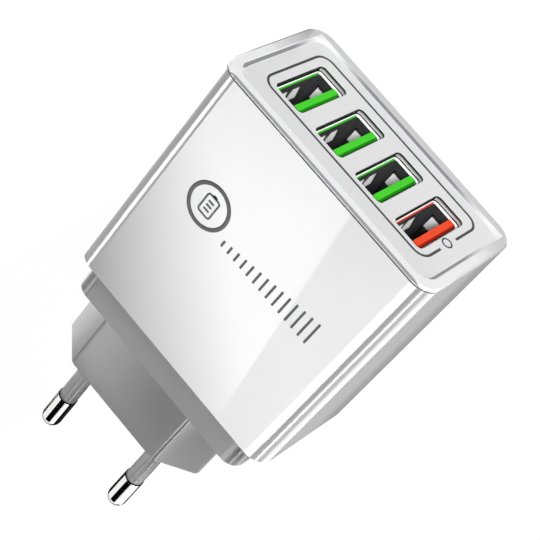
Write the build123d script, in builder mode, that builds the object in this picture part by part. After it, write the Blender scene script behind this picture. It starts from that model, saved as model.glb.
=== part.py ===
"""Wall charger with four USB-A ports and a two-pin European plug.

It lies on its plain back, with the printed face up (+Z), the ports towards -Y and the plug
pins towards +Y. The first port of the row is at +X, the fast-charge port at -X.
All sizes are in millimetres.
"""
import os
from math import atan2, degrees

from build123d import *

os.makedirs("parts", exist_ok=True)

# Housing
body_width = 46.2
body_thickness = 27.0
body_length = 47.0
corner_radius = 3.6
wall = 2.0
edge_break = 0.3
parting_chamfer = 0.15
fit_gap = 0.1

# Face plate with its sunk panel
lip_thickness = 0.6
rim_width = 1.6
panel_recess = 0.45
recess_slope = 0.7
panel_radius = 2.6
panel_thickness = 1.8
skirt_depth = 4.0
skirt_wall = 1.2

# USB ports
port_count = 4
port_pitch = 9.0
usb_short = 5.12
usb_long = 12.5
shell_sheet = 0.3
shell_radius = 0.8
shell_length = 11.8
shell_setback = 1.0
lead_in = 0.25
aperture_gap = 0.15
leaf_width = 1.9
leaf_length = 5.6
leaf_crest = 1.2
leaf_bulge = 0.45
leaf_spacing = 3.4
leaf_front = 2.0
end_leaf_offset = 0.3
window_gap = 0.25
tab_width = 1.6
tongue_thickness = 1.4
tongue_width = 11.1
tongue_offset = 1.75
tongue_setback = 0.65
tongue_chamfer = 0.3
base_depth = 3.2
base_gap = 0.05
contact_pitch = 2.3
contact_count = 4
contact_width = 1.0
contact_thickness = 0.25
contact_setback = 1.0
tail_length = 1.0

# Circuit boards
board_thickness = 1.2
board_gap = 0.2
hole_gap = 0.1
rail_height = 2.6
rail_thickness = 1.2
rail_width = 1.6
part_gap = 0.8
edge_margin = 0.7
front_margin = 1.9

# Plug
plug_offset = 2.85
flange_height = 5.1
flange_side_inset = 2.9
flange_face_inset = 0.6
flange_radius = 3.0
spigot_side_step = 1.5
spigot_face_step = 3.0
spigot_depth = 3.0
block_width = 34.6
block_flat = 22.0
block_thickness = 13.2
block_side = 1.2
block_length = 18.9
block_edge = 0.4
block_end_chamfer = 0.2
plug_wall = 1.8
end_wall = 4.0
pin_spacing = 19.0
pin_diameter = 3.8
pin_length = 20.8
pin_core = 2.8
pin_sleeve_diameter = 3.45
pin_sleeve_length = 12.7
pin_tip_round = 1.7
pin_collar_diameter = 5.4
pin_collar_length = 1.6
pin_tail = 3.0
pin_gap = 0.02

# Mains contact strips
strip_width = 2.6
strip_thickness = 0.5
strip_foot = 2.4
strip_lug = 4.4

# Transformer
core_width = 13.0
core_length = 12.0
core_height = 4.8
core_leg = 2.6
core_yoke = 2.2
bobbin_wall = 0.7
bobbin_flange = 0.8
bobbin_height = 12.0
bobbin_gap = 0.1
winding_depth = 1.7
bobbin_foot = 2.4

# Capacitors
bulk_diameter = 7.0
bulk_height = 13.5
output_diameter = 5.0
output_height = 11.0
output_count = 3
vent_depth = 0.2

# Other board parts
fuse_length = 7.0
fuse_width = 3.0
fuse_height = 4.0
bridge_length = 5.0
bridge_width = 4.0
bridge_height = 2.5
choke_side = 5.5
choke_height = 8.0
choke_flange = 1.0
choke_groove = 0.9
sink_thickness = 1.5
sink_length = 11.0
sink_height = 15.0
sink_slot = 1.0
transistor_width = 9.0
transistor_height = 9.0
transistor_depth = 3.6
transistor_stand = 3.0
leg_pitch = 2.54
leg_width = 0.8
leg_thickness = 0.5
chip_length = 5.0
chip_width = 4.0
chip_height = 1.5
coupler_length = 6.4
coupler_width = 4.0
coupler_height = 3.4
header_count = 6
header_pitch = 2.0
header_body = 2.0
header_pin = 0.6
port_chip_rise = 3.0

# Levels along the length
overall_length = body_length + flange_height + block_length + pin_length
face_y = -overall_length / 2
panel_y = face_y + panel_recess
plate_back_y = panel_y + panel_thickness
shell_front_y = panel_y + shell_setback
shell_rear_y = shell_front_y + shell_length
port_board_rear_y = shell_rear_y + board_thickness
body_end_y = face_y + body_length
flange_end_y = body_end_y + flange_height
block_end_y = flange_end_y + block_length
pin_tip_y = block_end_y + pin_length
pin_step_y = block_end_y + pin_sleeve_length
pin_rear_y = block_end_y - end_wall - pin_collar_length - pin_tail
tongue_front_y = panel_y + tongue_setback
board_front_y = port_board_rear_y + board_gap
board_end_y = body_end_y - spigot_depth - board_gap

# Levels through the thickness
mid_z = body_thickness / 2
board_z = wall + rail_height
board_top_z = board_z + board_thickness

# Sizes that follow
inner_width = body_width - 2 * wall
inner_height = body_thickness - 2 * wall
inner_radius = corner_radius - wall
shell_short = usb_short + 2 * shell_sheet
shell_long = usb_long + 2 * shell_sheet
board_width = inner_width - 2 * board_gap
flange_width = body_width - 2 * flange_side_inset
flange_thickness = body_thickness - 2 * flange_face_inset
spigot_width = flange_width - 2 * spigot_side_step
spigot_height = flange_thickness - 2 * spigot_face_step
port_xs = [((port_count - 1) / 2 - i) * port_pitch for i in range(port_count)]
pin_xs = {"left": plug_offset - pin_spacing / 2, "right": plug_offset + pin_spacing / 2}
contact_zs = [(i - (contact_count - 1) / 2) * contact_pitch for i in range(contact_count)]


def across(y, x=0.0, z=mid_z):
    """A plane across the body that faces the plug, with its x along X."""
    return Plane(origin=(x, y, z), x_dir=(1, 0, 0), z_dir=(0, 1, 0))


def on_board(x, y, z=board_top_z):
    """A level plane on the main board."""
    return Plane(origin=(x, y, z), x_dir=(1, 0, 0), z_dir=(0, 0, 1))


def keep(part, name):
    """Label a finished piece and write its file."""
    part.label = name
    export_step(part, f"parts/{name}.step")


# Housing: a cup with an opening for the plug in its end wall and rails for the main board
with BuildPart() as housing:
    with BuildSketch(across(face_y + lip_thickness)):
        RectangleRounded(body_width, body_thickness, corner_radius)
    extrude(amount=body_length - lip_thickness)
    chamfer(housing.faces().sort_by(Axis.Y)[0].edges(), length=parting_chamfer)
    chamfer(housing.faces().sort_by(Axis.Y)[-1].edges(), length=edge_break)
    with BuildSketch(across(face_y + lip_thickness)):
        RectangleRounded(inner_width, inner_height, inner_radius)
    extrude(amount=body_length - lip_thickness - wall, mode=Mode.SUBTRACT)
    with BuildSketch(across(body_end_y)):
        RectangleRounded(spigot_width + 2 * fit_gap, spigot_height + 2 * fit_gap, flange_radius)
    extrude(amount=-wall, mode=Mode.SUBTRACT)
    rail_x = inner_width / 2 - rail_width / 2
    rail_length = body_end_y - wall - port_board_rear_y
    with Locations((0, port_board_rear_y + rail_length / 2, 0)):
        for rail_z in (board_z - rail_thickness / 2, board_top_z + board_gap + rail_thickness / 2):
            with Locations((-rail_x, 0, rail_z), (rail_x, 0, rail_z)):
                Box(rail_width, rail_length, rail_thickness)
keep(housing.part, "housing")

# Face plate: a rim over the housing's mouth, a sunk panel with the port cut-outs, a skirt inside
with BuildPart() as face_plate:
    with BuildSketch(across(face_y)):
        RectangleRounded(body_width, body_thickness, corner_radius)
    extrude(amount=lip_thickness)
    chamfer(face_plate.faces().sort_by(Axis.Y)[0].edges(), length=edge_break)
    chamfer(face_plate.faces().sort_by(Axis.Y)[-1].edges(), length=parting_chamfer)
    with BuildSketch(across(face_y + lip_thickness)):
        RectangleRounded(inner_width - 2 * fit_gap, inner_height - 2 * fit_gap, inner_radius)
    extrude(amount=plate_back_y - face_y - lip_thickness)
    with BuildSketch(across(plate_back_y)):
        RectangleRounded(inner_width - 2 * fit_gap, inner_height - 2 * fit_gap, inner_radius)
        inset = 2 * (fit_gap + skirt_wall)
        Rectangle(inner_width - inset, inner_height - inset, mode=Mode.SUBTRACT)
    extrude(amount=skirt_depth - (plate_back_y - face_y - lip_thickness))
    with BuildSketch(across(face_y)):
        recess_radius = panel_radius + recess_slope
        RectangleRounded(body_width - 2 * rim_width, body_thickness - 2 * rim_width, recess_radius)
    extrude(amount=panel_recess, taper=degrees(atan2(recess_slope, panel_recess)), mode=Mode.SUBTRACT)
    with BuildSketch(across(panel_y)):
        with Locations(*[(x, 0) for x in port_xs]):
            RectangleRounded(
                shell_short + 2 * aperture_gap, shell_long + 2 * aperture_gap, shell_radius + aperture_gap
            )
    extrude(amount=panel_thickness, mode=Mode.SUBTRACT)
keep(face_plate.part, "face_plate")


def usb_shell(x):
    """Folded steel shell of one port: lead-in edges, leaf springs on one long wall and both ends."""
    leaf_start_y = shell_front_y + leaf_front
    leaf_end_y = leaf_start_y + leaf_length
    middle_y = leaf_start_y + leaf_length / 2
    crest_ys = (middle_y - leaf_crest / 2, middle_y + leaf_crest / 2)
    wall_x = usb_short / 2
    end_z = usb_long / 2
    leaf_zs = (mid_z - leaf_spacing / 2, mid_z + leaf_spacing / 2)
    end_leaf_x = x + end_leaf_offset
    with BuildPart() as shell:
        with BuildSketch(across(shell_front_y, x)):
            RectangleRounded(shell_short, shell_long, shell_radius)
            RectangleRounded(usb_short, usb_long, shell_radius - shell_sheet, mode=Mode.SUBTRACT)
        extrude(amount=shell_length)
        chamfer(shell.faces().sort_by(Axis.Y)[0].inner_wires()[0].edges(), length=lead_in)
        with BuildSketch(across(shell_rear_y, x)):
            with Locations((0, -end_z - shell_sheet / 2), (0, end_z + shell_sheet / 2)):
                Rectangle(tab_width, shell_sheet)
        extrude(amount=board_thickness + tail_length)
        with Locations(*[(x + wall_x + shell_sheet / 2, middle_y - window_gap, z) for z in leaf_zs]):
            Box(2 * shell_sheet, leaf_length, leaf_width + 2 * window_gap, mode=Mode.SUBTRACT)
        end_window_z = end_z + shell_sheet / 2
        with Locations((end_leaf_x, middle_y - window_gap, mid_z)):
            with Locations((0, 0, -end_window_z), (0, 0, end_window_z)):
                Box(leaf_width + 2 * window_gap, leaf_length, 2 * shell_sheet, mode=Mode.SUBTRACT)
        side_planes = [Plane.XY.offset(z - leaf_width / 2).rotated((0, 0, 90)) for z in leaf_zs]
        end_plane = Plane.YZ.offset(end_leaf_x - leaf_width / 2)
        leaves = [(plane, -x - wall_x, 1) for plane in side_planes]
        leaves += [(end_plane, mid_z - end_z, 1), (end_plane, mid_z + end_z, -1)]
        for plane, root, inward in leaves:
            back = root - inward * shell_sheet
            bulge = inward * leaf_bulge
            bends = [(leaf_start_y, 0), (crest_ys[0], bulge), (crest_ys[1], bulge), (leaf_end_y, 0)]
            inner_side = [(y, root + rise) for y, rise in bends]
            outer_side = [(y, back + rise) for y, rise in reversed(bends)]
            with BuildSketch(plane):
                Polygon(*inner_side, *outer_side, align=None)
            extrude(amount=leaf_width)
    return shell.part


def usb_insulator(x):
    """Moulded base and tongue of one port, with slots for the contacts."""
    tongue_x = x - tongue_offset
    base_front_y = shell_rear_y - base_depth
    with BuildPart() as insulator:
        with BuildSketch(across(base_front_y, x)):
            base = Rectangle(usb_short - 2 * base_gap, usb_long - 2 * base_gap)
            chamfer(base.vertices(), length=shell_radius - shell_sheet)
        extrude(amount=base_depth)
        with BuildSketch(across(tongue_front_y, tongue_x)):
            Rectangle(tongue_thickness, tongue_width)
        extrude(amount=base_front_y - tongue_front_y)
        front = insulator.faces().sort_by(Axis.Y)[0]
        chamfer(front.edges().sort_by(Axis.X)[0], length=tongue_chamfer)
        with BuildSketch(across(base_front_y, tongue_x + (tongue_thickness + contact_thickness) / 2)):
            with Locations(*[(0, z) for z in contact_zs]):
                Rectangle(contact_thickness, contact_width)
        extrude(amount=base_depth, mode=Mode.SUBTRACT)
    return insulator.part


def usb_contacts(x):
    """The four contact strips of one port, lying on the tongue and soldered in the port board."""
    start_y = tongue_front_y + contact_setback
    end_y = port_board_rear_y + tail_length
    with BuildPart() as contacts:
        contact_x = x - tongue_offset + (tongue_thickness + contact_thickness) / 2
        with BuildSketch(across(start_y, contact_x)):
            with Locations(*[(0, z) for z in contact_zs]):
                Rectangle(contact_thickness, contact_width)
        extrude(amount=end_y - start_y)
    return contacts.part


for number, port_x in enumerate(port_xs, start=1):
    keep(usb_shell(port_x), f"usb_shell_{number}")
    keep(usb_insulator(port_x), f"usb_insulator_{number}")
    keep(usb_contacts(port_x), f"usb_contacts_{number}")

# Port board: stands across the body behind the shells, on the front ends of the rails
with BuildPart() as port_board:
    with BuildSketch(across(shell_rear_y)):
        RectangleRounded(board_width, inner_height - 2 * board_gap, inner_radius)
        for port_x in port_xs:
            contact_x = port_x - tongue_offset + (tongue_thickness + contact_thickness) / 2
            with Locations(*[(contact_x, z) for z in contact_zs]):
                hole_size = (contact_thickness + 2 * hole_gap, contact_width + 2 * hole_gap)
                Rectangle(*hole_size, mode=Mode.SUBTRACT)
            tab_z = (usb_long + shell_sheet) / 2
            with Locations((port_x, -tab_z), (port_x, tab_z)):
                Rectangle(tab_width + 2 * hole_gap, shell_sheet + 2 * hole_gap, mode=Mode.SUBTRACT)
    extrude(amount=board_thickness)
keep(port_board.part, "port_board")

# Main board: slides along the rails, up to the port board
board_length = board_end_y - board_front_y
board_mid_y = (board_front_y + board_end_y) / 2
with BuildPart() as main_board:
    with BuildSketch(on_board(0, board_mid_y, board_z)):
        Rectangle(board_width, board_length)
    extrude(amount=board_thickness)
keep(main_board.part, "main_board")

# Plug base: flange, six-sided block and spigot in one hollow moulding
hex_half = block_thickness / 2
block_outline = [
    (block_flat / 2, hex_half),
    (-block_flat / 2, hex_half),
    (-block_width / 2, block_side / 2),
    (-block_width / 2, -block_side / 2),
    (-block_flat / 2, -hex_half),
    (block_flat / 2, -hex_half),
    (block_width / 2, -block_side / 2),
    (block_width / 2, block_side / 2),
]
with BuildPart() as plug_base:
    with BuildSketch(across(flange_end_y, plug_offset)):
        Polygon(*block_outline, align=None)
    extrude(amount=block_length)
    chamfer(plug_base.edges().filter_by(Axis.Y), length=block_edge)
    chamfer(plug_base.faces().sort_by(Axis.Y)[-1].edges(), length=block_end_chamfer)
    with BuildSketch(across(body_end_y)):
        RectangleRounded(flange_width, flange_thickness, flange_radius)
    extrude(amount=flange_height)
    with BuildSketch(across(body_end_y)):
        RectangleRounded(spigot_width, spigot_height, flange_radius - fit_gap)
    extrude(amount=-spigot_depth)
    with BuildSketch(across(body_end_y - spigot_depth)):
        hollow_size = (spigot_width - 2 * plug_wall, spigot_height - 2 * plug_wall)
        RectangleRounded(*hollow_size, flange_radius - plug_wall)
    extrude(amount=spigot_depth + flange_height - plug_wall, mode=Mode.SUBTRACT)
    with BuildSketch(across(flange_end_y - plug_wall, plug_offset)):
        Polygon(*block_outline, align=None)
        offset(amount=-plug_wall, kind=Kind.INTERSECTION, mode=Mode.REPLACE)
    extrude(amount=plug_wall + block_length - end_wall, mode=Mode.SUBTRACT)
    with BuildSketch(across(block_end_y - end_wall)):
        with Locations(*[(x, 0) for x in pin_xs.values()]):
            Circle(pin_sleeve_diameter / 2 + pin_gap)
    extrude(amount=end_wall, mode=Mode.SUBTRACT)
keep(plug_base.part, "plug_base")


def plug_pin(x):
    """Turned pin: bare tip, thinner core under the sleeve, collar behind the block's end wall."""
    wall_y = block_end_y - end_wall
    profile = [
        (0, pin_rear_y),
        (pin_core / 2, pin_rear_y),
        (pin_core / 2, wall_y - pin_collar_length),
        (pin_collar_diameter / 2, wall_y - pin_collar_length),
        (pin_collar_diameter / 2, wall_y),
        (pin_core / 2, wall_y),
        (pin_core / 2, pin_step_y),
        (pin_diameter / 2, pin_step_y),
        (pin_diameter / 2, pin_tip_y),
        (0, pin_tip_y),
    ]
    with BuildPart() as pin:
        with BuildSketch(Plane(origin=(x, 0, mid_z), x_dir=(1, 0, 0), z_dir=(0, 0, 1))) as half:
            Polygon(*profile, align=None)
            fillet(half.vertices().group_by(Axis.Y)[-1].sort_by(Axis.X)[-1], radius=pin_tip_round)
        revolve(axis=Axis((x, 0, mid_z), (0, 1, 0)))
    return pin.part


def pin_sleeve(x):
    """Insulating sleeve on the root of a pin, seated through the block's end wall."""
    with BuildPart() as sleeve:
        with BuildSketch(across(block_end_y - end_wall, x)):
            Circle(pin_sleeve_diameter / 2)
            Circle(pin_core / 2 + pin_gap, mode=Mode.SUBTRACT)
        extrude(amount=end_wall + pin_sleeve_length)
    return sleeve.part


def contact_strip(x):
    """Bent strip that carries the mains from a pin's rear end down to the main board."""
    foot_y = board_end_y - strip_foot
    lug_z = mid_z + strip_lug / 2
    profile = [
        (foot_y, board_top_z),
        (board_end_y, board_top_z),
        (board_end_y, mid_z - strip_thickness / 2),
        (pin_rear_y, mid_z - strip_thickness / 2),
    ]
    with BuildPart() as strip:
        with BuildSketch(Plane.YZ.offset(x - strip_width / 2)):
            (foot, corner, bend, lug) = profile
            with Locations(((foot[0] + corner[0]) / 2, foot[1] + strip_thickness / 2)):
                Rectangle(strip_foot, strip_thickness)
            with Locations((corner[0] - strip_thickness / 2, (corner[1] + bend[1] + strip_thickness) / 2)):
                Rectangle(strip_thickness, bend[1] + strip_thickness - corner[1])
            with Locations(((bend[0] + lug[0]) / 2 - strip_thickness / 2, bend[1] + strip_thickness / 2)):
                Rectangle(lug[0] - bend[0] + strip_thickness, strip_thickness)
            with Locations((lug[0] - strip_thickness / 2, (lug[1] + lug_z) / 2)):
                Rectangle(strip_thickness, lug_z - lug[1])
        extrude(amount=strip_width)
    return strip.part


for side, pin_x in pin_xs.items():
    keep(plug_pin(pin_x), f"plug_pin_{side}")
    keep(pin_sleeve(pin_x), f"pin_sleeve_{side}")
    keep(contact_strip(pin_x), f"contact_strip_{side}")

# Places on the main board
board_half = board_width / 2
bulk_x = -board_half + rail_width + edge_margin + bulk_diameter / 2
bulk_ys = [board_end_y - edge_margin - bulk_diameter / 2]
bulk_ys.append(bulk_ys[0] - bulk_diameter - part_gap)
output_y = board_front_y + front_margin + output_diameter / 2
output_x = -board_half + rail_width + edge_margin + output_diameter / 2
output_xs = [output_x + i * (output_diameter + part_gap) for i in range(output_count)]
transformer_x = bulk_x + bulk_diameter / 2 + part_gap + core_width / 2
transformer_y = output_y + output_diameter / 2 + part_gap + core_length / 2
sink_x = board_half - rail_width - edge_margin - sink_thickness / 2
sink_y = board_front_y + edge_margin + sink_length / 2
choke_x = board_half - rail_width - edge_margin - choke_side / 2
choke_y = sink_y + sink_length / 2 + part_gap + choke_side / 2
aisle_x = transformer_x + core_width / 2 + part_gap + chip_width / 2


def electrolytic(x, y, diameter, height):
    """Can capacitor with a scored vent cross on top."""
    vent_length = diameter / 2
    with BuildPart() as can:
        with BuildSketch(on_board(x, y)):
            Circle(diameter / 2)
        extrude(amount=height)
        with BuildSketch(on_board(x, y, board_top_z + height)):
            Rectangle(vent_length, vent_depth)
            Rectangle(vent_depth, vent_length)
        extrude(amount=-vent_depth, mode=Mode.SUBTRACT)
    return can.part


for number, y in enumerate(bulk_ys, start=1):
    keep(electrolytic(bulk_x, y, bulk_diameter, bulk_height), f"bulk_capacitor_{number}")
for number, x in enumerate(output_xs, start=1):
    keep(electrolytic(x, output_y, output_diameter, output_height), f"output_capacitor_{number}")

# Transformer: core with two windows, bobbin on the middle leg, taped winding
core_z = board_top_z + bobbin_height / 2
window_width = (core_width - 3 * core_leg) / 2
window_length = core_length - 2 * core_yoke
with BuildPart() as core:
    with BuildSketch(on_board(transformer_x, transformer_y, core_z - core_height / 2)):
        Rectangle(core_width, core_length)
        with GridLocations(window_width + core_leg, 0, 2, 1):
            Rectangle(window_width, window_length, mode=Mode.SUBTRACT)
    extrude(amount=core_height)
keep(core.part, "transformer_core")

tube_width = core_leg + 2 * (bobbin_gap + bobbin_wall)
tube_height = core_height + 2 * (bobbin_gap + bobbin_wall)
flange_span = core_leg + 2 * window_width - 2 * bobbin_gap
bobbin_length = window_length - 2 * bobbin_gap
bobbin_front_y = transformer_y - bobbin_length / 2
with BuildPart() as bobbin:
    with BuildSketch(across(bobbin_front_y, transformer_x, core_z)):
        Rectangle(tube_width, tube_height)
    extrude(amount=bobbin_length)
    for y in (bobbin_front_y, bobbin_front_y + bobbin_length - bobbin_flange):
        with BuildSketch(across(y, transformer_x, core_z)):
            Rectangle(flange_span, bobbin_height)
        extrude(amount=bobbin_flange)
    with BuildSketch(across(bobbin_front_y, transformer_x, core_z)):
        Rectangle(core_leg + 2 * bobbin_gap, core_height + 2 * bobbin_gap)
    extrude(amount=bobbin_length, mode=Mode.SUBTRACT)
    for y in (bobbin_front_y, bobbin_front_y + bobbin_length - bobbin_foot):
        with BuildSketch(on_board(transformer_x, y + bobbin_foot / 2)):
            Rectangle(core_width, bobbin_foot)
        extrude(amount=(bobbin_height - tube_height) / 2 - winding_depth)
keep(bobbin.part, "transformer_bobbin")

winding_length = bobbin_length - 2 * bobbin_flange
with BuildPart() as winding:
    with BuildSketch(across(bobbin_front_y + bobbin_flange, transformer_x, core_z)):
        RectangleRounded(flange_span - 2 * bobbin_gap, tube_height + 2 * winding_depth, winding_depth / 2)
        Rectangle(tube_width, tube_height, mode=Mode.SUBTRACT)
    extrude(amount=winding_length)
keep(winding.part, "transformer_winding")

# Heat sink along the board's edge, with the switching transistor against it
with BuildPart() as heat_sink:
    with BuildSketch(on_board(sink_x, sink_y)):
        Rectangle(sink_thickness, sink_length)
    extrude(amount=sink_height)
    with Locations((sink_x, sink_y, board_top_z + sink_height)):
        with GridLocations(0, sink_length / 4, 1, 3):
            Box(sink_thickness, sink_slot, 2 * sink_slot, mode=Mode.SUBTRACT)
keep(heat_sink.part, "heat_sink")

transistor_x = sink_x - sink_thickness / 2 - transistor_depth / 2
with BuildPart() as transistor:
    with BuildSketch(on_board(transistor_x, sink_y, board_top_z + transistor_stand)):
        Rectangle(transistor_depth, transistor_width)
    extrude(amount=transistor_height)
    chamfer(transistor.faces().sort_by(Axis.X)[0].edges(), length=leg_thickness)
    with BuildSketch(on_board(transistor_x, sink_y)):
        with GridLocations(0, leg_pitch, 1, 3):
            Rectangle(leg_thickness, leg_width)
    extrude(amount=transistor_stand)
keep(transistor.part, "switching_transistor")

# Square drum choke, wound between its two flanges
choke_post = choke_side - 2 * choke_groove
with BuildPart() as choke:
    with BuildSketch(on_board(choke_x, choke_y)):
        Rectangle(choke_side, choke_side)
    extrude(amount=choke_height)
    with BuildSketch(on_board(choke_x, choke_y, board_top_z + choke_flange)):
        Rectangle(choke_side, choke_side)
        Rectangle(choke_post, choke_post, mode=Mode.SUBTRACT)
    extrude(amount=choke_height - 2 * choke_flange, mode=Mode.SUBTRACT)
keep(choke.part, "input_choke")

with BuildPart() as choke_coil:
    with BuildSketch(on_board(choke_x, choke_y, board_top_z + choke_flange)):
        RectangleRounded(choke_side - choke_groove, choke_side - choke_groove, choke_groove / 2)
        Rectangle(choke_post, choke_post, mode=Mode.SUBTRACT)
    extrude(amount=choke_height - 2 * choke_flange)
keep(choke_coil.part, "choke_winding")

# Small parts in the aisle between the transformer and the heat sink
header_y = board_front_y + tail_length + header_body / 2
coupler_y = header_y + header_body / 2 + part_gap + coupler_length / 2
chip_y = coupler_y + coupler_length / 2 + part_gap + chip_length / 2
bridge_y = chip_y + chip_length / 2 + part_gap + bridge_length / 2
fuse_x = pin_xs["left"] + strip_width / 2 + part_gap + fuse_length / 2
fuse_y = board_end_y - edge_margin - fuse_width / 2

with BuildPart() as coupler:
    with BuildSketch(on_board(aisle_x, coupler_y)):
        Rectangle(coupler_width, coupler_length)
    extrude(amount=coupler_height)
    chamfer(coupler.faces().sort_by(Axis.Z)[-1].edges(), length=leg_thickness)
keep(coupler.part, "optocoupler")

with BuildPart() as controller:
    with BuildSketch(on_board(aisle_x, chip_y)):
        Rectangle(chip_width, chip_length)
    extrude(amount=chip_height)
    with BuildSketch(on_board(aisle_x, chip_y)):
        with GridLocations(chip_width + leg_width, chip_length / 4, 2, 4):
            Rectangle(leg_width, leg_thickness)
    extrude(amount=leg_thickness)
keep(controller.part, "controller_chip")

with BuildPart() as bridge:
    with BuildSketch(on_board(aisle_x, bridge_y)):
        Rectangle(bridge_width, bridge_length)
    extrude(amount=bridge_height)
    chamfer(bridge.faces().sort_by(Axis.Z)[-1].edges(), length=leg_thickness)
keep(bridge.part, "bridge_rectifier")

with BuildPart() as fuse:
    with BuildSketch(on_board(fuse_x, fuse_y)):
        Rectangle(fuse_length, fuse_width)
    extrude(amount=fuse_height)
    chamfer(fuse.faces().sort_by(Axis.Z)[-1].edges(), length=leg_thickness)
keep(fuse.part, "mains_fuse")

# Header between the two boards, its pins soldered to the back of the port board
header_z = board_top_z + header_pin / 2
with BuildPart() as header:
    with BuildSketch(on_board(aisle_x, header_y)):
        Rectangle(header_count * header_pitch, header_body)
    extrude(amount=header_body)
    with BuildSketch(across(port_board_rear_y, aisle_x, header_z)):
        with GridLocations(header_pitch, 0, header_count, 1):
            Rectangle(header_pin, header_pin)
    extrude(amount=header_y - port_board_rear_y)
keep(header.part, "board_header")

# Charge controllers on the back of the port board
port_chip_z = mid_z + port_chip_rise
with BuildPart() as port_chips:
    with BuildSketch(across(port_board_rear_y, 0, port_chip_z)):
        with GridLocations(2 * port_pitch, 0, 2, 1):
            Rectangle(chip_length, chip_width)
    extrude(amount=chip_height)
keep(port_chips.part, "port_controllers")
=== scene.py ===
import math

import bmesh
import bpy
from mathutils import Matrix, Vector


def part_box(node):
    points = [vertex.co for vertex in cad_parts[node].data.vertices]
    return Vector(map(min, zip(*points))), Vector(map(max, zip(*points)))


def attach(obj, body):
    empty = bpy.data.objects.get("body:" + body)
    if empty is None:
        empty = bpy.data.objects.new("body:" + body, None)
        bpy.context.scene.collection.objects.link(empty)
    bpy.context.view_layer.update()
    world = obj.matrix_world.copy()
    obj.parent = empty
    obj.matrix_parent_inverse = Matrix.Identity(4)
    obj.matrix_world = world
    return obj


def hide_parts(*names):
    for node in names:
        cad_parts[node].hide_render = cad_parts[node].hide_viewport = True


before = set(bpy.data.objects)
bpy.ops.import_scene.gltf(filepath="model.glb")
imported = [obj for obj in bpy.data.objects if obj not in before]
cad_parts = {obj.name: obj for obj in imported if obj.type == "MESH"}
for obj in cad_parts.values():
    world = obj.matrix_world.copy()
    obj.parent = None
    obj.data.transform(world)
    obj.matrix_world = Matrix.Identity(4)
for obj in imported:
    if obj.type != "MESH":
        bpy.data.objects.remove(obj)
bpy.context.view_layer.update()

MM = 0.001

# Ports and sunk panel, in millimetres
port_count = 4
port_pitch = 9.0
panel_recess = 0.45
panel_slope = 0.6
panel_half_width, panel_half_height = 20.75, 11.15
opening_half_short, opening_half_long = 3.06, 6.75
shell_half_short, shell_half_long = 2.56, 6.25
shell_setback = 1.0
lead_in = 0.25
side_spring_half, end_spring_half = 3.0, 1.9
spring_crest = 5.2
tongue_setback = 0.65
tongue_bevel = 2.14

# Painted fields, in millimetres
face_margin = 0.04
satin_lip = 0.1
seam_shade_width = 0.12
top_edge_shade_width = 0.32
step_shade_width = 0.15
tip_wear = 2.2
block_rise = 6.6
block_margin = 0.3

# Levels of the charger, in metres, read from the solids
body_low, body_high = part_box("housing")
plate_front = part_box("face_plate")[0].y
pin_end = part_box("plug_pin_left")[1].y
pin_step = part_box("pin_sleeve_left")[1].y
top_level = body_high.z
middle_level = (body_low.z + body_high.z) / 2
panel_front = plate_front + panel_recess * MM

# Printed marks, in metres
ink_thickness = 0.03 * MM
frame_line_width = 0.42 * MM
frame_left, frame_right = -17.9 * MM, 18.2 * MM
frame_bottom, frame_top = 4.4 * MM, 21.3 * MM
frame_corner = 2.2 * MM
frame_gap_low, frame_gap_high = 11.4 * MM, 16.1 * MM
dot_centre = (-17.65 * MM, 13.75 * MM)
dot_radius = 0.85 * MM
dot_line_width = 0.26 * MM
ring_centre = (10.5 * MM, -26.3 * MM)
ring_radius = 3.8 * MM
ring_line_width = 0.72 * MM
cell_width, cell_height = 2.5 * MM, 3.7 * MM
cell_corner = 0.45 * MM
cell_line_width = 0.34 * MM
level_count = 3
level_pitch = 0.82 * MM
level_bar_width = 0.4 * MM
level_bar_height = 1.25 * MM
cap_strokes = 2
cap_stroke_pitch = 0.02 * MM
cap_length = 0.9 * MM
cap_gap = 0.25 * MM
gauge_start = (5.0 * MM, -23.0 * MM)
gauge_count = 14
gauge_pitch = 1.5 * MM
gauge_bar_width = 0.42 * MM
gauge_low, gauge_high = 1.3 * MM, 4.8 * MM
corner_steps = 10
dot_points, ring_points = 32, 64

# Mesh clean-up: corners closer than this are one, and edges bent more than this stay crisp
solid_weld, ink_weld = 1e-6, 1e-7
crisp_degrees = 32.0

# Camera, in metres and degrees
camera_place = (-0.048859, -0.189347, 0.229193)
camera_aim = (-0.000156, -0.016449, 0.0135)
camera_roll = -118.43
camera_lens, camera_sensor = 116.96, 36.0

# Studio, in metres; a card is left, right, near and far edge, then its radiance
full_white = (1.0, 1.0, 1.0, 1.0)
room_light, backdrop_light = 0.18, 1.0
floor_reach = 4.0
ceiling, ground = 0.45, 0.0003
panel_left, panel_right = 0.036, 0.172
top_panel_near, top_panel_far, plug_panel_far = 0.235, 0.403, 0.467
foot_near, foot_far = -0.055, 0.035
ceiling_cards = {
    "left_edge_strip": (-0.34, 0.034, 0.2, 0.466, 9.0),
    "left_edge_flag": (-0.68, -0.345, 0.28, 0.64, 0.3),
    "pin_flag": (-0.31, 0.2, 0.468, 0.7, 0.0),
    "right_edge_strip": (0.3, 0.58, 0.28, 0.57, 9.0)}
floor_cards = {
    "left_foot_strip": (-0.15, -0.04, foot_near, 0.11, 3.0),
    "right_foot_flag": (0.0232, 0.036, foot_near, foot_far, 0.1),
    "right_foot_strip": (0.04, 0.2, foot_near, 0.09, 3.0),
    "pin_foot_flag": (-0.022, 0.042, 0.046, 0.078, 0.02)}
charger_aim = (0.0, 0.0, 0.015)
port_aim = (0.0, plate_front, middle_level)


def linear(red, green, blue):
    """A screen colour, 0 to 255 each, as the linear colour that a shader takes."""
    def channel(value):
        value /= 255
        return value / 12.92 if value <= 0.04045 else ((value + 0.055) / 1.055) ** 2.4
    return (channel(red), channel(green), channel(blue), 1.0)


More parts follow.
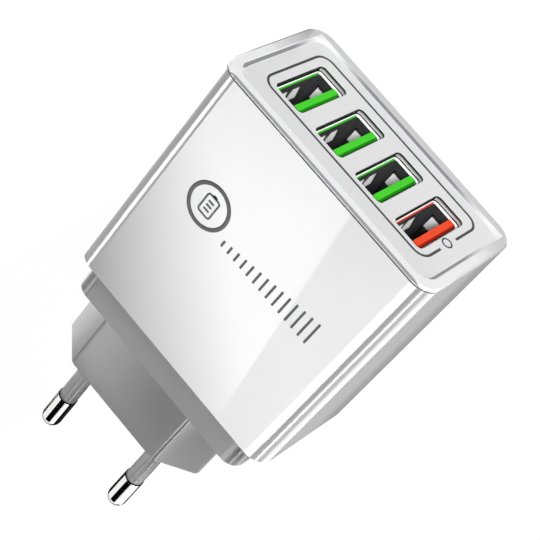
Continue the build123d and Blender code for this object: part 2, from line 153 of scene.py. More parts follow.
def grey(level, cool=0):
    """A screen grey, 0 to 255, with a little extra blue where it is cool."""
    return linear(level, level, level + cool)


class Signal:
    """A shader socket that can be used in sums; each sum adds its Math nodes."""

    def __init__(self, finish, socket):
        self.finish = finish
        self.socket = socket

    def maths(self, operation, first, second=0.0):
        return self.finish.node("ShaderNodeMath", {"operation": operation}, {0: first, 1: second})

    def __add__(self, other):
        return self.maths("ADD", self, other)

    def __radd__(self, other):
        return self.maths("ADD", other, self)

    def __sub__(self, other):
        return self.maths("SUBTRACT", self, other)

    def __rsub__(self, other):
        return self.maths("SUBTRACT", other, self)

    def __mul__(self, other):
        return self.maths("MULTIPLY", self, other)

    def __rmul__(self, other):
        return self.maths("MULTIPLY", other, self)

    def __abs__(self):
        return self.maths("ABSOLUTE", self)

    def __gt__(self, other):
        return self.maths("GREATER_THAN", self, other)

    def __lt__(self, other):
        return self.maths("LESS_THAN", self, other)

    def at_least(self, other):
        return self.maths("MAXIMUM", self, other)

    def at_most(self, other):
        return self.maths("MINIMUM", self, other)

    def root(self):
        return self.maths("SQRT", self)

    def wrap(self, half):
        """The same value in every repeat of a row, from -half to half."""
        return self.finish.node("ShaderNodeMath", {"operation": "WRAP"}, {0: self, 1: half, 2: -half})

    def ramp(self, low, high):
        """0 below low, 1 above high, smooth between."""
        settings = {"interpolation_type": "SMOOTHSTEP"}
        return self.finish.node("ShaderNodeMapRange", settings, {0: self, 1: low, 2: high})


class Nodes:
    """A shader node tree, filled node by node, that ends in one shader."""

    def __init__(self, tree, shader, output):
        self.tree = tree
        self.tree.nodes.clear()
        self.shader = self.tree.nodes.new(shader)
        end = self.tree.nodes.new(output)
        self.tree.links.new(self.shader.outputs[0], end.inputs["Surface"])

    def node(self, kind, settings=None, sockets=None, output=0):
        made = self.tree.nodes.new(kind)
        for key, value in (settings or {}).items():
            setattr(made, key, value)
        for key, value in (sockets or {}).items():
            self.feed(made.inputs[key], value)
        return Signal(self, made.outputs[output])

    def feed(self, socket, value):
        if isinstance(value, Signal):
            self.tree.links.new(value.socket, socket)
        else:
            socket.default_value = value

    def mix(self, factor, first, second):
        """Fills the Mix Shader that this tree ends in."""
        for socket, value in enumerate((factor, first, second)):
            self.feed(self.shader.inputs[socket], value)

    def seen_rays(self):
        """1 for rays that show the studio itself: straight to the camera, or by way of gloss and glass."""
        camera = self.node("ShaderNodeLightPath", output=0)
        glossy = self.node("ShaderNodeLightPath", output=3)
        through = self.node("ShaderNodeLightPath", output=6)
        return camera.at_least(glossy).at_least(through)


class Finish(Nodes):
    """The nodes of one material."""

    def __init__(self, name, shader="ShaderNodeBsdfPrincipled"):
        self.material = bpy.data.materials.new(name)
        self.material.use_nodes = True
        super().__init__(self.material.node_tree, shader, "ShaderNodeOutputMaterial")

    def surface(self, **sockets):
        """Sets the shader's sockets; Base_Color stands for Base Color."""
        for key, value in sockets.items():
            self.feed(self.shader.inputs[key.replace("_", " ")], value)
        return self.material

    def millimetres(self, stretch=(1.0, 1.0, 1.0)):
        """Object coordinates in millimetres, each axis stretched for long-grained patterns."""
        place = self.node("ShaderNodeTexCoord", output=3)
        scale = tuple(value / MM for value in stretch)
        return self.node("ShaderNodeVectorMath", {"operation": "MULTIPLY"}, {0: place, 1: scale})

    def axes(self):
        place = self.millimetres()
        return [self.node("ShaderNodeSeparateXYZ", None, {0: place}, output=axis) for axis in range(3)]

    def in_port(self):
        """Place in the nearest port, in mm: across from its middle, in from the panel, up from mid-height."""
        x, y, z = self.axes()
        across = (x + port_pitch / 2).wrap(port_pitch / 2)
        return across, y - panel_front / MM, z - middle_level / MM

    def noise(self, scale, detail=2.0, stretch=(1.0, 1.0, 1.0)):
        sockets = {"Vector": self.millimetres(stretch), "Scale": scale, "Detail": detail}
        return self.node("ShaderNodeTexNoise", None, sockets)

    def blend(self, factor, first, second):
        sockets = {0: factor, 6: first, 7: second}
        return self.node("ShaderNodeMix", {"data_type": "RGBA"}, sockets, output=2)

    def bump(self, height, strength, distance_mm):
        sockets = {"Height": height, "Strength": strength, "Distance": distance_mm * MM}
        return self.node("ShaderNodeBump", None, sockets)


def white_gloss():
    """Polished white plastic: faint clouding, hairline polish marks, a clear top layer, and painted shade in
    the seams at both ends.
    """
    finish = Finish("white_gloss")
    clouding = finish.noise(scale=0.09, detail=3.0)
    polish = finish.noise(scale=1.4, detail=4.0, stretch=(1.0, 0.06, 1.0)).ramp(0.55, 0.9)
    y = finish.axes()[1]
    # Painted shade: a dark grey band in the seam at each end of the housing
    front_seam_shade = y < body_low.y / MM + seam_shade_width
    rear_seam_shade = y > body_high.y / MM - seam_shade_width
    white = finish.blend(clouding, grey(229, 2), grey(235))
    return finish.surface(
        Base_Color=finish.blend(front_seam_shade.at_least(rear_seam_shade), white, grey(92, 2)),
        Roughness=0.24 + polish * 0.05,
        Coat_Weight=0.9 + clouding * 0.1,
        Coat_Roughness=0.02,
        Coat_IOR=1.62,
        Normal=finish.bump(finish.noise(scale=0.5, detail=1.0), strength=0.006, distance_mm=0.02))


def face_plate_white():
    """The same plastic with a polished rim and a satin sunk panel, with painted shade on the rim, on the
    slopes round the panel and on the walls of the port cut-outs.
    """
    finish = Finish("face_plate_white")
    x = finish.axes()[0]
    across, depth, up = finish.in_port()

    # Panel and cut-outs; the cut-out walls are painted near-black as shade, except a band on the low end of
    # each, which keeps its white and catches the light
    satin = (abs(x) < panel_half_width) * (abs(up) < panel_half_height) * (depth > -satin_lip)
    cut_out = (abs(across) < opening_half_short) * (abs(up) < opening_half_long) * (depth > face_margin)
    lit_end = (up < -shell_half_long) * depth.ramp(0.1, 0.75) * (depth < 0.88)
    wall_in_painted_shade = cut_out * (1 - lit_end)

    # Slopes round the panel, painted in shade along the low side and at both ends
    recess = (abs(x) < panel_half_width + panel_slope) * (abs(up) < panel_half_height + panel_slope)
    slope = recess * (depth > face_margin - panel_recess) * (depth < -face_margin)
    low_side = (up < -panel_half_height) * (1 - abs(x).ramp(9.0, 20.0))
    ends = (abs(x) > panel_half_width) * (up + x * 0.1).ramp(-9.0, -1.0)
    shade = slope * low_side.at_least(ends)

    # Rim, painted greyer as shade towards its low side and along its top edge
    low_rim_shade = (-1.0 - up).ramp(0.0, 10.0) * (1 - recess)
    top_edge_shade = up > (top_level - middle_level) / MM - top_edge_shade_width

    clouding = finish.noise(scale=0.12, detail=3.0)
    grain = finish.noise(scale=7.0)
    polished = finish.blend(clouding, grey(235, 2), grey(240))
    polished = finish.blend(low_rim_shade, polished, grey(194, 2))
    polished = finish.blend(top_edge_shade, polished, grey(136, 2))
    sunk = finish.blend(clouding, grey(226, 2), grey(232))
    white = finish.blend(satin, polished, sunk)
    white = finish.blend(shade, white, grey(128, 2))
    # Painted shade on the cut-out walls: near-black, metallic and without clear coat, with the white band
    # left at each low end
    wall_with_painted_shade = finish.blend(lit_end, grey(14, 2), grey(236))
    return finish.surface(
        Base_Color=finish.blend(cut_out, white, wall_with_painted_shade),
        Metallic=wall_in_painted_shade,
        Roughness=0.22 + satin * (0.16 + grain * 0.1),
        Coat_Weight=0.95 - satin.at_least(shade) * 0.75 - wall_in_painted_shade * 0.2,
        Coat_Roughness=0.025,
        Coat_IOR=1.6,
        Normal=finish.bump(satin * grain, strength=0.06, distance_mm=0.02))


def moulded_grey(name, dark, light, flat, grain_scale, grain_strength):
    """Moulded grey plastic, polished and painted a darker grey as shade on its broad flat, with a
    spark-etched grain and a parting line.
    """
    finish = Finish(name)
    up = finish.axes()[2] - middle_level / MM
    parting = 1 - abs(up).ramp(0.03, 0.1)
    # The broad flat gets more clear coat, and the flat colour, a darker grey painted as shade
    broad_flat = (up > block_rise - block_margin) * (up < block_rise + block_margin)
    flow = finish.noise(scale=0.16, detail=3.0, stretch=(1.0, 0.5, 1.0))
    grain = finish.noise(scale=grain_scale, detail=3.0)
    return finish.surface(
        Base_Color=finish.blend(broad_flat, finish.blend(flow, dark, light), flat),
        Roughness=0.2 + grain * 0.12,
        Coat_Weight=0.1 + broad_flat * 0.4 + flow * 0.1,
        Coat_Roughness=0.08,
        Specular_IOR_Level=0.3,
        Normal=finish.bump(grain + parting * 1.5, strength=grain_strength, distance_mm=0.02))


def pin_nickel():
    """Nickel plate over turned brass: fine rings along the pin, a little wear at the tip, and a dark ring
    painted as shade where the pin meets its sleeve.
    """
    finish = Finish("pin_nickel")
    y = finish.axes()[1]
    tip = y.ramp(pin_end / MM - tip_wear, pin_end / MM)
    # Painted shade: a near-black ring on the pin where it meets its sleeve
    step = y < pin_step / MM + step_shade_width
    rings = finish.noise(scale=9.0, stretch=(0.02, 1.0, 0.02))
    cloud = finish.noise(scale=0.7, detail=3.0)
    scuff = finish.noise(scale=5.0, detail=4.0, stretch=(1.0, 0.2, 1.0)).ramp(0.5, 0.75)
    plate = finish.blend(cloud, linear(234, 233, 231), linear(248, 247, 246))
    return finish.surface(
        Base_Color=finish.blend(step, plate, grey(30, 1)),
        Metallic=1.0,
        Roughness=0.02 + rings * 0.02 + scuff * (0.01 + tip * 0.05),
        Normal=finish.bump(rings, strength=0.005, distance_mm=0.004))


def usb_steel():
    """Tinned steel sheet: the tin's bright colour on its mouth and on the springs up to their crests, painted
    dull and dark as shade further inside.
    """
    finish = Finish("usb_steel")
    x = finish.axes()[0]
    across, depth, up = finish.in_port()
    mouth = depth < shell_setback + lead_in
    side_spring = (abs(across) < shell_half_short - face_margin) * (abs(up) < side_spring_half)
    end_spring = (abs(up) < shell_half_long - face_margin) * (abs(across) < end_spring_half)
    # Painted shade: dull dark grey inside, the tin's own bright colour on the mouth and the springs up to
    # their crests
    bright = mouth.at_least(side_spring.at_least(end_spring) * (depth < spring_crest))
    # Painted reflection: a thin line of the tongue's colour on the lip that faces it
    lip = (depth > shell_setback + 0.1) * (depth < shell_setback + lead_in + 0.35)
    tongue_reflection_band = (across > shell_half_short - 0.06) * lip
    drawn = finish.noise(scale=3.5, detail=4.0, stretch=(1.0, 0.08, 1.0))
    cloud = finish.noise(scale=0.35)
    dull = finish.blend(drawn, grey(58, 2), grey(68, 2))
    tin = finish.blend(cloud, grey(238, 2), grey(250))
    steel = finish.blend(bright, dull, tin)
    tongue_reflection_colour = finish.blend(x < -port_pitch, linear(60, 190, 36), linear(214, 70, 40))
    return finish.surface(
        Base_Color=finish.blend(tongue_reflection_band, steel, tongue_reflection_colour),
        Metallic=0.1 + mouth * 0.2,
        Roughness=0.5 - bright * 0.25 + drawn * 0.1,
        Specular_IOR_Level=0.2,
        Normal=finish.bump(drawn, strength=0.05, distance_mm=0.01))


def port_plastic(name, inner_shade, bevel_shade, bright, pale):
    """Coloured port moulding: a soft satin, slightly uneven where the melt ran together, painted darker as
    shade on its bevel and deeper inside.
    """
    finish = Finish(name)
    across, depth = finish.in_port()[:2]
    # Painted shade: a darker copy of the colour on the bevel, and a near-black one deeper inside
    bevel = across < -tongue_bevel
    inside = depth.ramp(tongue_setback + 0.3, tongue_setback + 1.2)
    flow = finish.noise(scale=0.5, detail=3.0, stretch=(1.0, 1.0, 0.35))
    grain = finish.noise(scale=9.0)
    front = finish.blend(bevel, finish.blend(flow, bright, pale), bevel_shade)
    return finish.surface(
        Base_Color=finish.blend(inside, front, inner_shade),
        Roughness=0.42 + grain * 0.12,
        Specular_IOR_Level=0.15,
        Normal=finish.bump(grain, strength=0.05, distance_mm=0.01))


def plated_metal(name, dull, bright, roughness, grain_stretch):
    """Stamped or drawn metal with a plated colour."""
    finish = Finish(name)
    grain = finish.noise(scale=4.0, detail=4.0, stretch=grain_stretch)
    cloud = finish.noise(scale=0.5, detail=3.0)
    return finish.surface(
        Base_Color=finish.blend(cloud, dull, bright),
        Metallic=1.0,
        Roughness=roughness + grain * 0.16,
        Normal=finish.bump(grain, strength=0.06, distance_mm=0.01))


def board_green():
    """Green solder resist over copper runs, which show as a lighter raised pattern."""
    finish = Finish("board_green")
    settings = {"offset": 0.5, "squash": 1.0}
    sockets = {"Vector": finish.millimetres(), "Scale": 0.55, "Mortar Size": 0.03}
    run = finish.node("ShaderNodeTexBrick", settings, sockets, output=1)
    weave = finish.noise(scale=3.0, detail=3.0)
    resist = finish.blend(weave, linear(14, 66, 40), linear(22, 84, 50))
    return finish.surface(
        Base_Color=finish.blend(run * 0.6, resist, linear(58, 128, 74)),
        Roughness=0.34 + weave * 0.14,
        Normal=finish.bump(run + weave * 0.2, strength=0.2, distance_mm=0.04))


def wound_wire(name, dark, bright):
    """Turns of lacquered wire lying side by side, round the upright axis of the winding."""
    finish = Finish(name)
    settings = {"wave_type": "BANDS", "bands_direction": "Z"}
    turns = finish.node("ShaderNodeTexWave", settings, {"Vector": finish.millimetres(), "Scale": 0.9})
    cloud = finish.noise(scale=0.8)
    return finish.surface(
        Base_Color=finish.blend(turns * 0.7 + cloud * 0.3, dark, bright),
        Metallic=0.7,
        Roughness=0.3 + turns * 0.2,
        Normal=finish.bump(turns, strength=0.6, distance_mm=0.08))


def pressed_body(name, dark, light, roughness, grain_scale):
    """Ferrite, moulding compound, ceramic or tape: a dense matt body with a fine grain."""
    finish = Finish(name)
    grain = finish.noise(scale=grain_scale, detail=4.0)
    cloud = finish.noise(scale=0.3)
    return finish.surface(
        Base_Color=finish.blend(grain * 0.6 + cloud * 0.4, dark, light),
        Roughness=roughness + grain * 0.15,
        Normal=finish.bump(grain, strength=0.12, distance_mm=0.03))


def printing_ink(name, thin, full):
    """Screen ink, a little uneven where the mesh laid it down."""
    finish = Finish(name)
    lay = finish.noise(scale=2.2, detail=3.0)
    mesh_marks = finish.noise(scale=11.0, detail=1.0)
    return finish.surface(
        Base_Color=finish.blend(lay, thin, full),
        Roughness=0.42 + mesh_marks * 0.14,
        Normal=finish.bump(mesh_marks, strength=0.08, distance_mm=0.01))


def put_in_scene(name, data):
    made = bpy.data.objects.new(name, data)
    bpy.context.scene.collection.objects.link(made)
    return made


def smooth_copy(node, name, material):
    """The solid's own shape with merged corners, soft shading on rounds and crisp edges kept."""
    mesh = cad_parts[node].data.copy()
    mesh.name = name
    mesh.attributes.remove(mesh.attributes["custom_normal"])
    shape = bmesh.new()
    shape.from_mesh(mesh)
    bmesh.ops.remove_doubles(shape, verts=shape.verts, dist=solid_weld)
    for face in shape.faces:
        face.smooth = True
    for edge in shape.edges:
        edge.smooth = edge.calc_face_angle(0.0) < math.radians(crisp_degrees)
    shape.to_mesh(mesh)
    shape.free()
    mesh.materials.clear()
    mesh.materials.append(material)
    piece = put_in_scene(name, mesh)
    shading = piece.modifiers.new("flat_faces_stay_flat", "WEIGHTED_NORMAL")
    shading.mode = "FACE_AREA_WITH_ANGLE"
    shading.keep_sharp = True
    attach(piece, "root")
    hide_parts(node)
    return piece


def finish_node(node, material):
    """Gives a solid that stays as it is its finish."""
    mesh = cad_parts[node].data
    mesh.materials.clear()
    mesh.materials.append(material)


class Tree:
    """A Geometry Nodes tree with named inputs."""

    def __init__(self, name, takes_geometry):
        self.group = bpy.data.node_groups.new(name, "GeometryNodeTree")
        self.identifiers = {}
        if takes_geometry:
            self.add_input("Geometry", "NodeSocketGeometry")
        self.group.interface.new_socket("Geometry", in_out="OUTPUT", socket_type="NodeSocketGeometry")
        self.source = self.group.nodes.new("NodeGroupInput")
        self.result = self.group.nodes.new("NodeGroupOutput")

    def add_input(self, name, socket_type):
        socket = self.group.interface.new_socket(name, in_out="INPUT", socket_type=socket_type)
        self.identifiers[name] = socket.identifier

    def value(self, name):
        return self.source.outputs[name]

    def node(self, kind, settings=None, sockets=None, output=0):
        made = self.group.nodes.new(kind)
        for key, value in (settings or {}).items():
            setattr(made, key, value)
        for key, value in (sockets or {}).items():
            if isinstance(value, bpy.types.NodeSocket):
                self.group.links.new(value, made.inputs[key])
            else:
                made.inputs[key].default_value = value
        return made.outputs[output]

    def maths(self, operation, first, second):
        return self.node("ShaderNodeMath", {"operation": operation}, {0: first, 1: second})

    def end(self, geometry):
        whole = self.node("GeometryNodeRealizeInstances", None, {"Geometry": geometry})
        sockets = {"Geometry": whole, "Material": self.value("Ink")}
        inked = self.node("GeometryNodeSetMaterial", None, sockets)
        self.group.links.new(inked, self.result.inputs["Geometry"])


def ink_line_tree():
    """A printed line of even width along any flat path."""
    tree = Tree("ink_line", True)
    tree.add_input("Line Width", "NodeSocketFloat")
    tree.add_input("Ink Thickness", "NodeSocketFloat")
    tree.add_input("Ink", "NodeSocketMaterial")
    path = tree.value("Geometry")
    upright = tree.node("GeometryNodeSetCurveNormal", {"mode": "Z_UP"}, {"Curve": path})
    sockets = {"Width": tree.value("Line Width"), "Height": tree.value("Ink Thickness")}
    section = tree.node("GeometryNodeCurvePrimitiveQuadrilateral", {"mode": "RECTANGLE"}, sockets)
    sockets = {"Curve": upright, "Profile Curve": section, "Fill Caps": True}
    tree.end(tree.node("GeometryNodeCurveToMesh", None, sockets))
    return tree


def ink_bars_tree():
    """A row of round-ended bars that stand on one base line and rise evenly from first to last."""
    tree = Tree("ink_bars", False)
    tree.add_input("Count", "NodeSocketInt")
    for name in ("Pitch", "Bar Width", "First Height", "Last Height", "Ink Thickness"):
        tree.add_input(name, "NodeSocketFloat")
    tree.add_input("Ink", "NodeSocketMaterial")

    # Points of the row, each at the middle of its bar
    step = tree.node("ShaderNodeCombineXYZ", None, {"X": tree.value("Pitch")})
    row = tree.node("GeometryNodeMeshLine", None, {"Count": tree.value("Count"), "Offset": step})
    last = tree.maths("SUBTRACT", tree.value("Count"), 1.0)
    share = tree.maths("DIVIDE", tree.node("GeometryNodeInputIndex"), last)
    rise = tree.maths("SUBTRACT", tree.value("Last Height"), tree.value("First Height"))
    height = tree.maths("ADD", tree.value("First Height"), tree.maths("MULTIPLY", rise, share))
    lift = tree.node("ShaderNodeCombineXYZ", None, {"Y": tree.maths("MULTIPLY", height, 0.5)})
    row = tree.node("GeometryNodeSetPosition", None, {"Geometry": row, "Offset": lift})

    # The tallest bar, which each point shrinks to its own height
    sockets = {"Width": tree.value("Bar Width"), "Height": tree.value("Last Height")}
    outline = tree.node("GeometryNodeCurvePrimitiveQuadrilateral", {"mode": "RECTANGLE"}, sockets)
    end_radius = tree.maths("MULTIPLY", tree.value("Bar Width"), 0.49)
    sockets = {"Curve": outline, "Count": 4, "Radius": end_radius}
    outline = tree.node("GeometryNodeFilletCurve", {"mode": "POLY"}, sockets)
    top = tree.node("ShaderNodeCombineXYZ", None, {"Z": tree.value("Ink Thickness")})
    rise_path = tree.node("GeometryNodeCurvePrimitiveLine", None, {"End": top})
    sockets = {"Curve": rise_path, "Profile Curve": outline, "Fill Caps": True}
    bar = tree.node("GeometryNodeCurveToMesh", None, sockets)
    stretch = tree.maths("DIVIDE", height, tree.value("Last Height"))
    scale = tree.node("ShaderNodeCombineXYZ", None, {"X": 1.0, "Y": stretch, "Z": 1.0})
    sockets = {"Points": row, "Instance": bar, "Scale": scale}
    tree.end(tree.node("GeometryNodeInstanceOnPoints", None, sockets))
    return tree


def grow(name, source, tree, inputs, place):
    """Runs a tree on a source, and keeps the result as a plain mesh, in its place on the charger."""
    carrier = put_in_scene(name + "_source", source)
    modifier = carrier.modifiers.new("grow", "NODES")
    modifier.node_group = tree.group
    for label, value in inputs.items():
        modifier[tree.identifiers[label]] = value
    evaluated = carrier.evaluated_get(bpy.context.evaluated_depsgraph_get())
    mesh = bpy.data.meshes.new_from_object(evaluated)
    mesh.name = name
    carrier.modifiers.remove(modifier)
    bpy.data.objects.remove(carrier)
    mesh.transform(place)
    shape = bmesh.new()
    shape.from_mesh(mesh)
    bmesh.ops.remove_doubles(shape, verts=shape.verts, dist=ink_weld)
    bmesh.ops.recalc_face_normals(shape, faces=shape.faces)
    shape.to_mesh(mesh)
    shape.free()
    piece = put_in_scene(name, mesh)
    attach(piece, "root")
    return piece


def flat_path(name, points, closed):
    curve = bpy.data.curves.new(name, "CURVE")
    curve.dimensions = "3D"
    spline = curve.splines.new("POLY")
    spline.points.add(len(points) - 1)
    for point, (x, y) in zip(spline.points, points):
        point.co = (x, y, 0.0, 1.0)
    spline.use_cyclic_u = closed
    return curve


def arc(centre, radius, start_degrees, end_degrees, steps):
    sweep = end_degrees - start_degrees
    angles = [math.radians(start_degrees + sweep * i / steps) for i in range(steps + 1)]
    return [(centre[0] + radius * math.cos(a), centre[1] + radius * math.sin(a)) for a in angles]


def circle(radius, count):
    """Points of a full circle, the last one a step short of the first."""
    return arc((0.0, 0.0), radius, 0, 360 - 360 / count, count - 1)


def rounded_outline(left, right, bottom, top, radius):
    """Points of a rounded rectangle, from the left side's top, clockwise."""
    points = arc((left + radius, top - radius), radius, 180, 90, corner_steps)
    points += arc((right - radius, top - radius), radius, 90, 0, corner_steps)
    points += arc((right - radius, bottom + radius), radius, 0, -90, corner_steps)
    points += arc((left + radius, bottom + radius), radius, -90, -180, corner_steps)
    return points


def on_panel(x=0.0, z=0.0):
    """Takes a flat drawing, seen from the front, to the sunk panel."""
    turn = Matrix(((1, 0, 0), (0, 0, -1), (0, 1, 0))).to_4x4()
    return Matrix.Translation((x, panel_front - ink_thickness / 2, z)) @ turn


def on_top(x=0.0, y=0.0):
    """Takes a flat drawing to the broad top face, which is read from the plug side."""
    turn = Matrix(((-1, 0, 0), (0, -1, 0), (0, 0, 1))).to_4x4()
    return Matrix.Translation((x, y, top_level)) @ turn


def print_marks():
    """The line round the ports, its dot, and the charge signs on the top face."""
    line_ink = printing_ink("line_ink", grey(42, 2), grey(54, 2))
    sign_ink = printing_ink("sign_ink", grey(84, 2), grey(104, 2))
    line_tree = ink_line_tree()
    bars_tree = ink_bars_tree()

    def print_line(name, points, closed, width, ink, place):
        inputs = {"Line Width": width, "Ink Thickness": ink_thickness, "Ink": ink}
        grow(name, flat_path(name, points, closed), line_tree, inputs, place)

    def print_bars(name, count, pitch, width, heights, ink, place):
        inputs = {"Count": count, "Pitch": pitch, "Bar Width": width, "First Height": heights[0],
                  "Last Height": heights[1], "Ink Thickness": ink_thickness, "Ink": ink}
        grow(name, bpy.data.meshes.new(name), bars_tree, inputs, place)

    # Line round the ports, open beside the dot
    frame_line = [(frame_left, frame_gap_high)]
    frame_line += rounded_outline(frame_left, frame_right, frame_bottom, frame_top, frame_corner)
    frame_line.append((frame_left, frame_gap_low))
    print_line("port_frame_line", frame_line, False, frame_line_width, line_ink, on_panel())
    dot = circle(dot_radius, dot_points)
    print_line("port_dot", dot, True, dot_line_width, line_ink, on_panel(*dot_centre))

    # Ring with a cell in it: outline, level bars and cap
    sign = on_top(*ring_centre)
    lift = Matrix.Translation((0.0, 0.0, ink_thickness / 2))
    quarter_turn = Matrix.Rotation(math.radians(90), 4, "Z")
    ring = circle(ring_radius, ring_points)
    print_line("charge_ring", ring, True, ring_line_width, sign_ink, sign @ lift)
    half_width, half_height = cell_width / 2, cell_height / 2
    cell = rounded_outline(-half_width, half_width, -half_height, half_height, cell_corner)
    print_line("charge_cell", cell, True, cell_line_width, sign_ink, sign @ lift)
    row_length = level_pitch * (level_count - 1)
    centred = quarter_turn @ Matrix.Translation((-row_length / 2, -level_bar_height / 2, 0.0))
    level_heights = (level_bar_height, level_bar_height)
    print_bars("charge_level", level_count, level_pitch, level_bar_width, level_heights, sign_ink,
               sign @ centred)
    above = Matrix.Translation((cap_length / 2, half_height + cap_gap, 0.0)) @ quarter_turn
    cap_heights = (cap_length, cap_length)
    print_bars("charge_cell_cap", cap_strokes, cap_stroke_pitch, cell_line_width, cap_heights, sign_ink,
               sign @ above)

    # Row of rising bars
    gauge_heights = (gauge_low, gauge_high)
    print_bars("charge_gauge", gauge_count, gauge_pitch, gauge_bar_width, gauge_heights, line_ink,
               on_top(*gauge_start))


def dress_outside():
    """Dresses what is seen from outside, and returns the pieces that have lamps of their own."""
    smooth_copy("housing", "housing_shell", white_gloss())
    plate = smooth_copy("face_plate", "front_plate", face_plate_white())
    plug_grey = moulded_grey(
        "plug_grey", dark=grey(184, 1), light=grey(192), flat=grey(150, 1),
        grain_scale=6.0, grain_strength=0.03)
    sleeve_grey = moulded_grey(
        "sleeve_grey", dark=grey(222, 1), light=grey(230), flat=grey(226),
        grain_scale=9.0, grain_strength=0.01)
    smooth_copy("plug_base", "plug_moulding", plug_grey)
    nickel = pin_nickel()
    for side in ("left", "right"):
        smooth_copy("plug_pin_" + side, "mains_pin_" + side, nickel)
        smooth_copy("pin_sleeve_" + side, "mains_sleeve_" + side, sleeve_grey)
    steel = usb_steel()
    green = port_plastic(
        "port_green", inner_shade=linear(8, 40, 6), bevel_shade=linear(34, 158, 18),
        bright=linear(66, 214, 38), pale=linear(76, 224, 46))
    red = port_plastic(
        "port_red", inner_shade=linear(48, 10, 6), bevel_shade=linear(186, 42, 16),
        bright=linear(248, 72, 34), pale=linear(255, 84, 44))
    gold = plated_metal("contact_gold", linear(206, 164, 84), linear(240, 204, 120), 0.16, (1.0, 0.1, 1.0))
    shells = []
    for port in range(1, port_count + 1):
        shells.append(smooth_copy(f"usb_shell_{port}", f"port_shell_{port}", steel))
        colour, slot = (red, "port_red") if port == port_count else (green, "port_green")
        smooth_copy(f"usb_insulator_{port}", f"port_tongue_{port}", colour)
        finish_node(f"usb_contacts_{port}", gold)
    return plate, shells


def dress_inside():
    """Gives the solids inside the housing their finishes."""
    board = board_green()
    brass = plated_metal("strip_brass", linear(178, 142, 74), linear(212, 178, 104), 0.24, (1.0, 0.1, 1.0))
    aluminium = plated_metal(
        "can_aluminium", linear(176, 178, 182), linear(206, 207, 210), 0.26, (1.0, 1.0, 0.1))
    copper = wound_wire("coil_copper", linear(128, 66, 32), linear(204, 122, 68))
    tape = pressed_body("tape_yellow", linear(206, 168, 40), linear(232, 198, 70), 0.34, 2.0)
    ferrite = pressed_body("ferrite", grey(44, 2), grey(66, 2), 0.5, 6.0)
    compound = pressed_body("chip_black", grey(24, 2), grey(40, 2), 0.46, 8.0)
    ceramic = pressed_body("fuse_ceramic", linear(206, 200, 186), linear(226, 222, 210), 0.4, 5.0)
    groups = (
        (board, ("port_board", "main_board")),
        (brass, ("contact_strip_left", "contact_strip_right")),
        (ferrite, ("transformer_core", "input_choke")),
        (copper, ("choke_winding",)),
        (tape, ("transformer_winding",)),
        (compound, ("transformer_bobbin", "switching_transistor", "controller_chip", "optocoupler",
                    "bridge_rectifier", "port_controllers", "board_header")),
        (aluminium, ("bulk_capacitor_1", "bulk_capacitor_2", "output_capacitor_1", "output_capacitor_2",
                     "output_capacitor_3", "heat_sink")),
        (ceramic, ("mains_fuse",)))
    for material, nodes in groups:
        for node in nodes:
            finish_node(node, material)


def aimed(place, aim):
    """Place and turn of a camera or lamp that looks from one point to another."""
    direction = Vector(aim) - Vector(place)
    return Matrix.Translation(place) @ direction.to_track_quat("-Z", "Y").to_matrix().to_4x4()


def place_camera():
    data = bpy.data.cameras.new("photo_camera")
    data.sensor_width = camera_sensor
    data.lens = camera_lens
    camera = put_in_scene("photo_camera", data)
    roll = Matrix.Rotation(math.radians(camera_roll), 4, "Z")
    camera.matrix_world = aimed(camera_place, camera_aim) @ roll
    bpy.context.scene.camera = camera


def level_sheet(left, right, near, far, height):
    return [(left, near, height), (right, near, height), (right, far, height), (left, far, height)]


def upright_sheet(start, end, low, high):
    return [(*start, low), (*end, low), (*end, high), (*start, high)]


def studio_sheet(name, corners, material):
    mesh = bpy.data.meshes.new(name)
    mesh.from_pydata(corners, [], [(0, 1, 2, 3)])
    mesh.materials.append(material)
    return put_in_scene(name, mesh)


def card(name, corners, material):
    """A sheet of the studio that is seen only as a reflection in the charger."""
    sheet = studio_sheet(name, corners, material)
    sheet.visible_camera = False
    sheet.visible_diffuse = False
    sheet.visible_shadow = False


def plain_card(name, corners, radiance):
    finish = Finish(name, "ShaderNodeEmission")
    card(name, corners, finish.surface(Color=full_white, Strength=radiance))


def lamp(name, place, aim, width, height, radiance):
    """A rectangular lamp that lights the charger and shows neither to the camera nor in gloss."""
    data = bpy.data.lights.new(name, "AREA")
    data.shape = "RECTANGLE"
    data.size = width
    data.size_y = height
    data.energy = radiance * math.pi * width * height
    light = put_in_scene(name, data)
    light.matrix_world = aimed(place, aim)
    light.visible_camera = False
    light.visible_glossy = False
    return light


def light_only(light, pieces):
    """Keeps a lamp's light to a few pieces."""
    lit = bpy.data.collections.new(light.name + "_pieces")
    for piece in pieces:
        lit.objects.link(piece)
    light.light_linking.receiver_collection = lit


def room():
    """White backdrop for the camera and for gloss, and a dimmer even light on the charger."""
    world = bpy.data.worlds.new("studio")
    bpy.context.scene.world = world
    world.use_nodes = True
    nodes = Nodes(world.node_tree, "ShaderNodeMixShader", "ShaderNodeOutputWorld")
    even = nodes.node("ShaderNodeBackground", None, {"Color": full_white, "Strength": room_light})
    backdrop = nodes.node("ShaderNodeBackground", None, {"Color": full_white, "Strength": backdrop_light})
    nodes.mix(nodes.seen_rays(), even, backdrop)


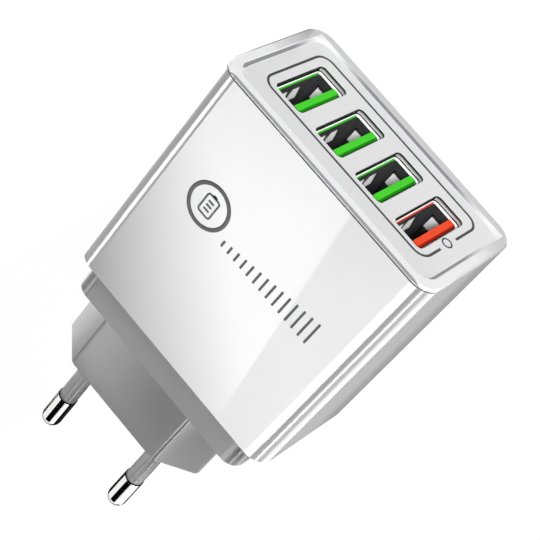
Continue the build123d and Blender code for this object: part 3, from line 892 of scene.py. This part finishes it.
def floor():
    """White sweep: mostly its own white for the camera, with enough real light to hold the shadow."""
    finish = Finish("floor_white", "ShaderNodeMixShader")
    plain = finish.node("ShaderNodeBsdfDiffuse", None, {"Color": (0.7, 0.7, 0.7, 1.0)})
    lit = finish.node("ShaderNodeBsdfDiffuse", None, {"Color": (0.42, 0.42, 0.42, 1.0)})
    glow = finish.node("ShaderNodeEmission", None, {"Color": full_white, "Strength": 0.9})
    white = finish.node("ShaderNodeAddShader", None, {0: lit, 1: glow})
    finish.mix(finish.seen_rays(), plain, white)
    corners = level_sheet(-floor_reach, floor_reach, -floor_reach, floor_reach, 0.0)
    studio_sheet("floor", corners, finish.material)


def top_panel():
    """Graded softbox that the broad top face mirrors, with an even field beyond a slanting edge."""
    finish = Finish("top_panel", "ShaderNodeEmission")
    x, y = finish.axes()[:2]
    dimmest, brightest, even_level = 0.1, 8.4, 6.0
    graded = (38.8 - x * 0.063 - y * 0.0716).at_least(dimmest).at_most(brightest)
    edge_x, edge_y, edge_slant = 62.3, 396.7, 0.135
    even = x - edge_x + (y - edge_y) * edge_slant < 0.0
    level = graded * (1 - even) + even * even_level
    corners = level_sheet(panel_left, panel_right, top_panel_near, top_panel_far, ceiling)
    card("top_panel", corners, finish.surface(Color=level))


def plug_panel():
    """Softbox that the plug mirrors, with a dim patch over the middle of its flat."""
    finish = Finish("plug_panel", "ShaderNodeEmission")
    x, y = finish.axes()[:2]
    patch_x, patch_y, patch_squeeze = 74.0, 424.0, 1.3
    aside, beyond = x - patch_x, (y - patch_y) * patch_squeeze
    away = (aside * aside + beyond * beyond).root()
    level = 0.1 + away.ramp(5.0, 95.0) * 8.5
    corners = level_sheet(panel_left, panel_right, top_panel_far, plug_panel_far, ceiling)
    card("plug_panel", corners, finish.surface(Color=level))


def left_foot_flag():
    """Grey card on the floor that the left side mirrors, darker towards the charger."""
    finish = Finish("left_foot_flag", "ShaderNodeEmission")
    x = finish.axes()[0]
    level = 0.33 + (-23.8 - x).ramp(0.0, 1.0) * 0.2
    corners = level_sheet(-0.036, -0.0232, foot_near, foot_far, ground)
    card("left_foot_flag", corners, finish.surface(Color=level))


def cards():
    """Bright strips and dark flags that give the gloss its lights and edges."""
    top_panel()
    plug_panel()
    for name, (left, right, near, far, radiance) in ceiling_cards.items():
        plain_card(name, level_sheet(left, right, near, far, ceiling), radiance)
    plain_card("left_tall_strip", upright_sheet((-1.1, 0.5), (-0.72, 0.98), 0.26, 0.43), 10.0)
    left_foot_flag()
    for name, (left, right, near, far, radiance) in floor_cards.items():
        plain_card(name, level_sheet(left, right, near, far, ground), radiance)
    plain_card("pin_edge_flag", upright_sheet((-0.03, 0.075), (0.06, 0.075), 0.0, 0.0145), 0.0)


def lamps(plate, shells):
    """Key from the front, fill from behind, and two small lamps for the ports, which the key misses."""
    lamp("front_key", (-0.42, -0.92, 0.17), charger_aim, 0.6, 0.36, 11.5)
    lamp("rear_fill", (0.3, 0.95, 0.055), charger_aim, 0.6, 0.1, 30.0)
    light_only(lamp("port_lamp", (-0.32, -0.74, 0.62), port_aim, 0.25, 0.25, 36.0), shells)
    light_only(lamp("port_end_lamp", (0.0, -0.13, 0.9), port_aim, 0.3, 0.08, 62.0), [plate])


plate, shells = dress_outside()
dress_inside()
print_marks()
place_camera()
room()
floor()
cards()
lamps(plate, shells)

scene = bpy.context.scene
scene.view_settings.view_transform = "Standard"
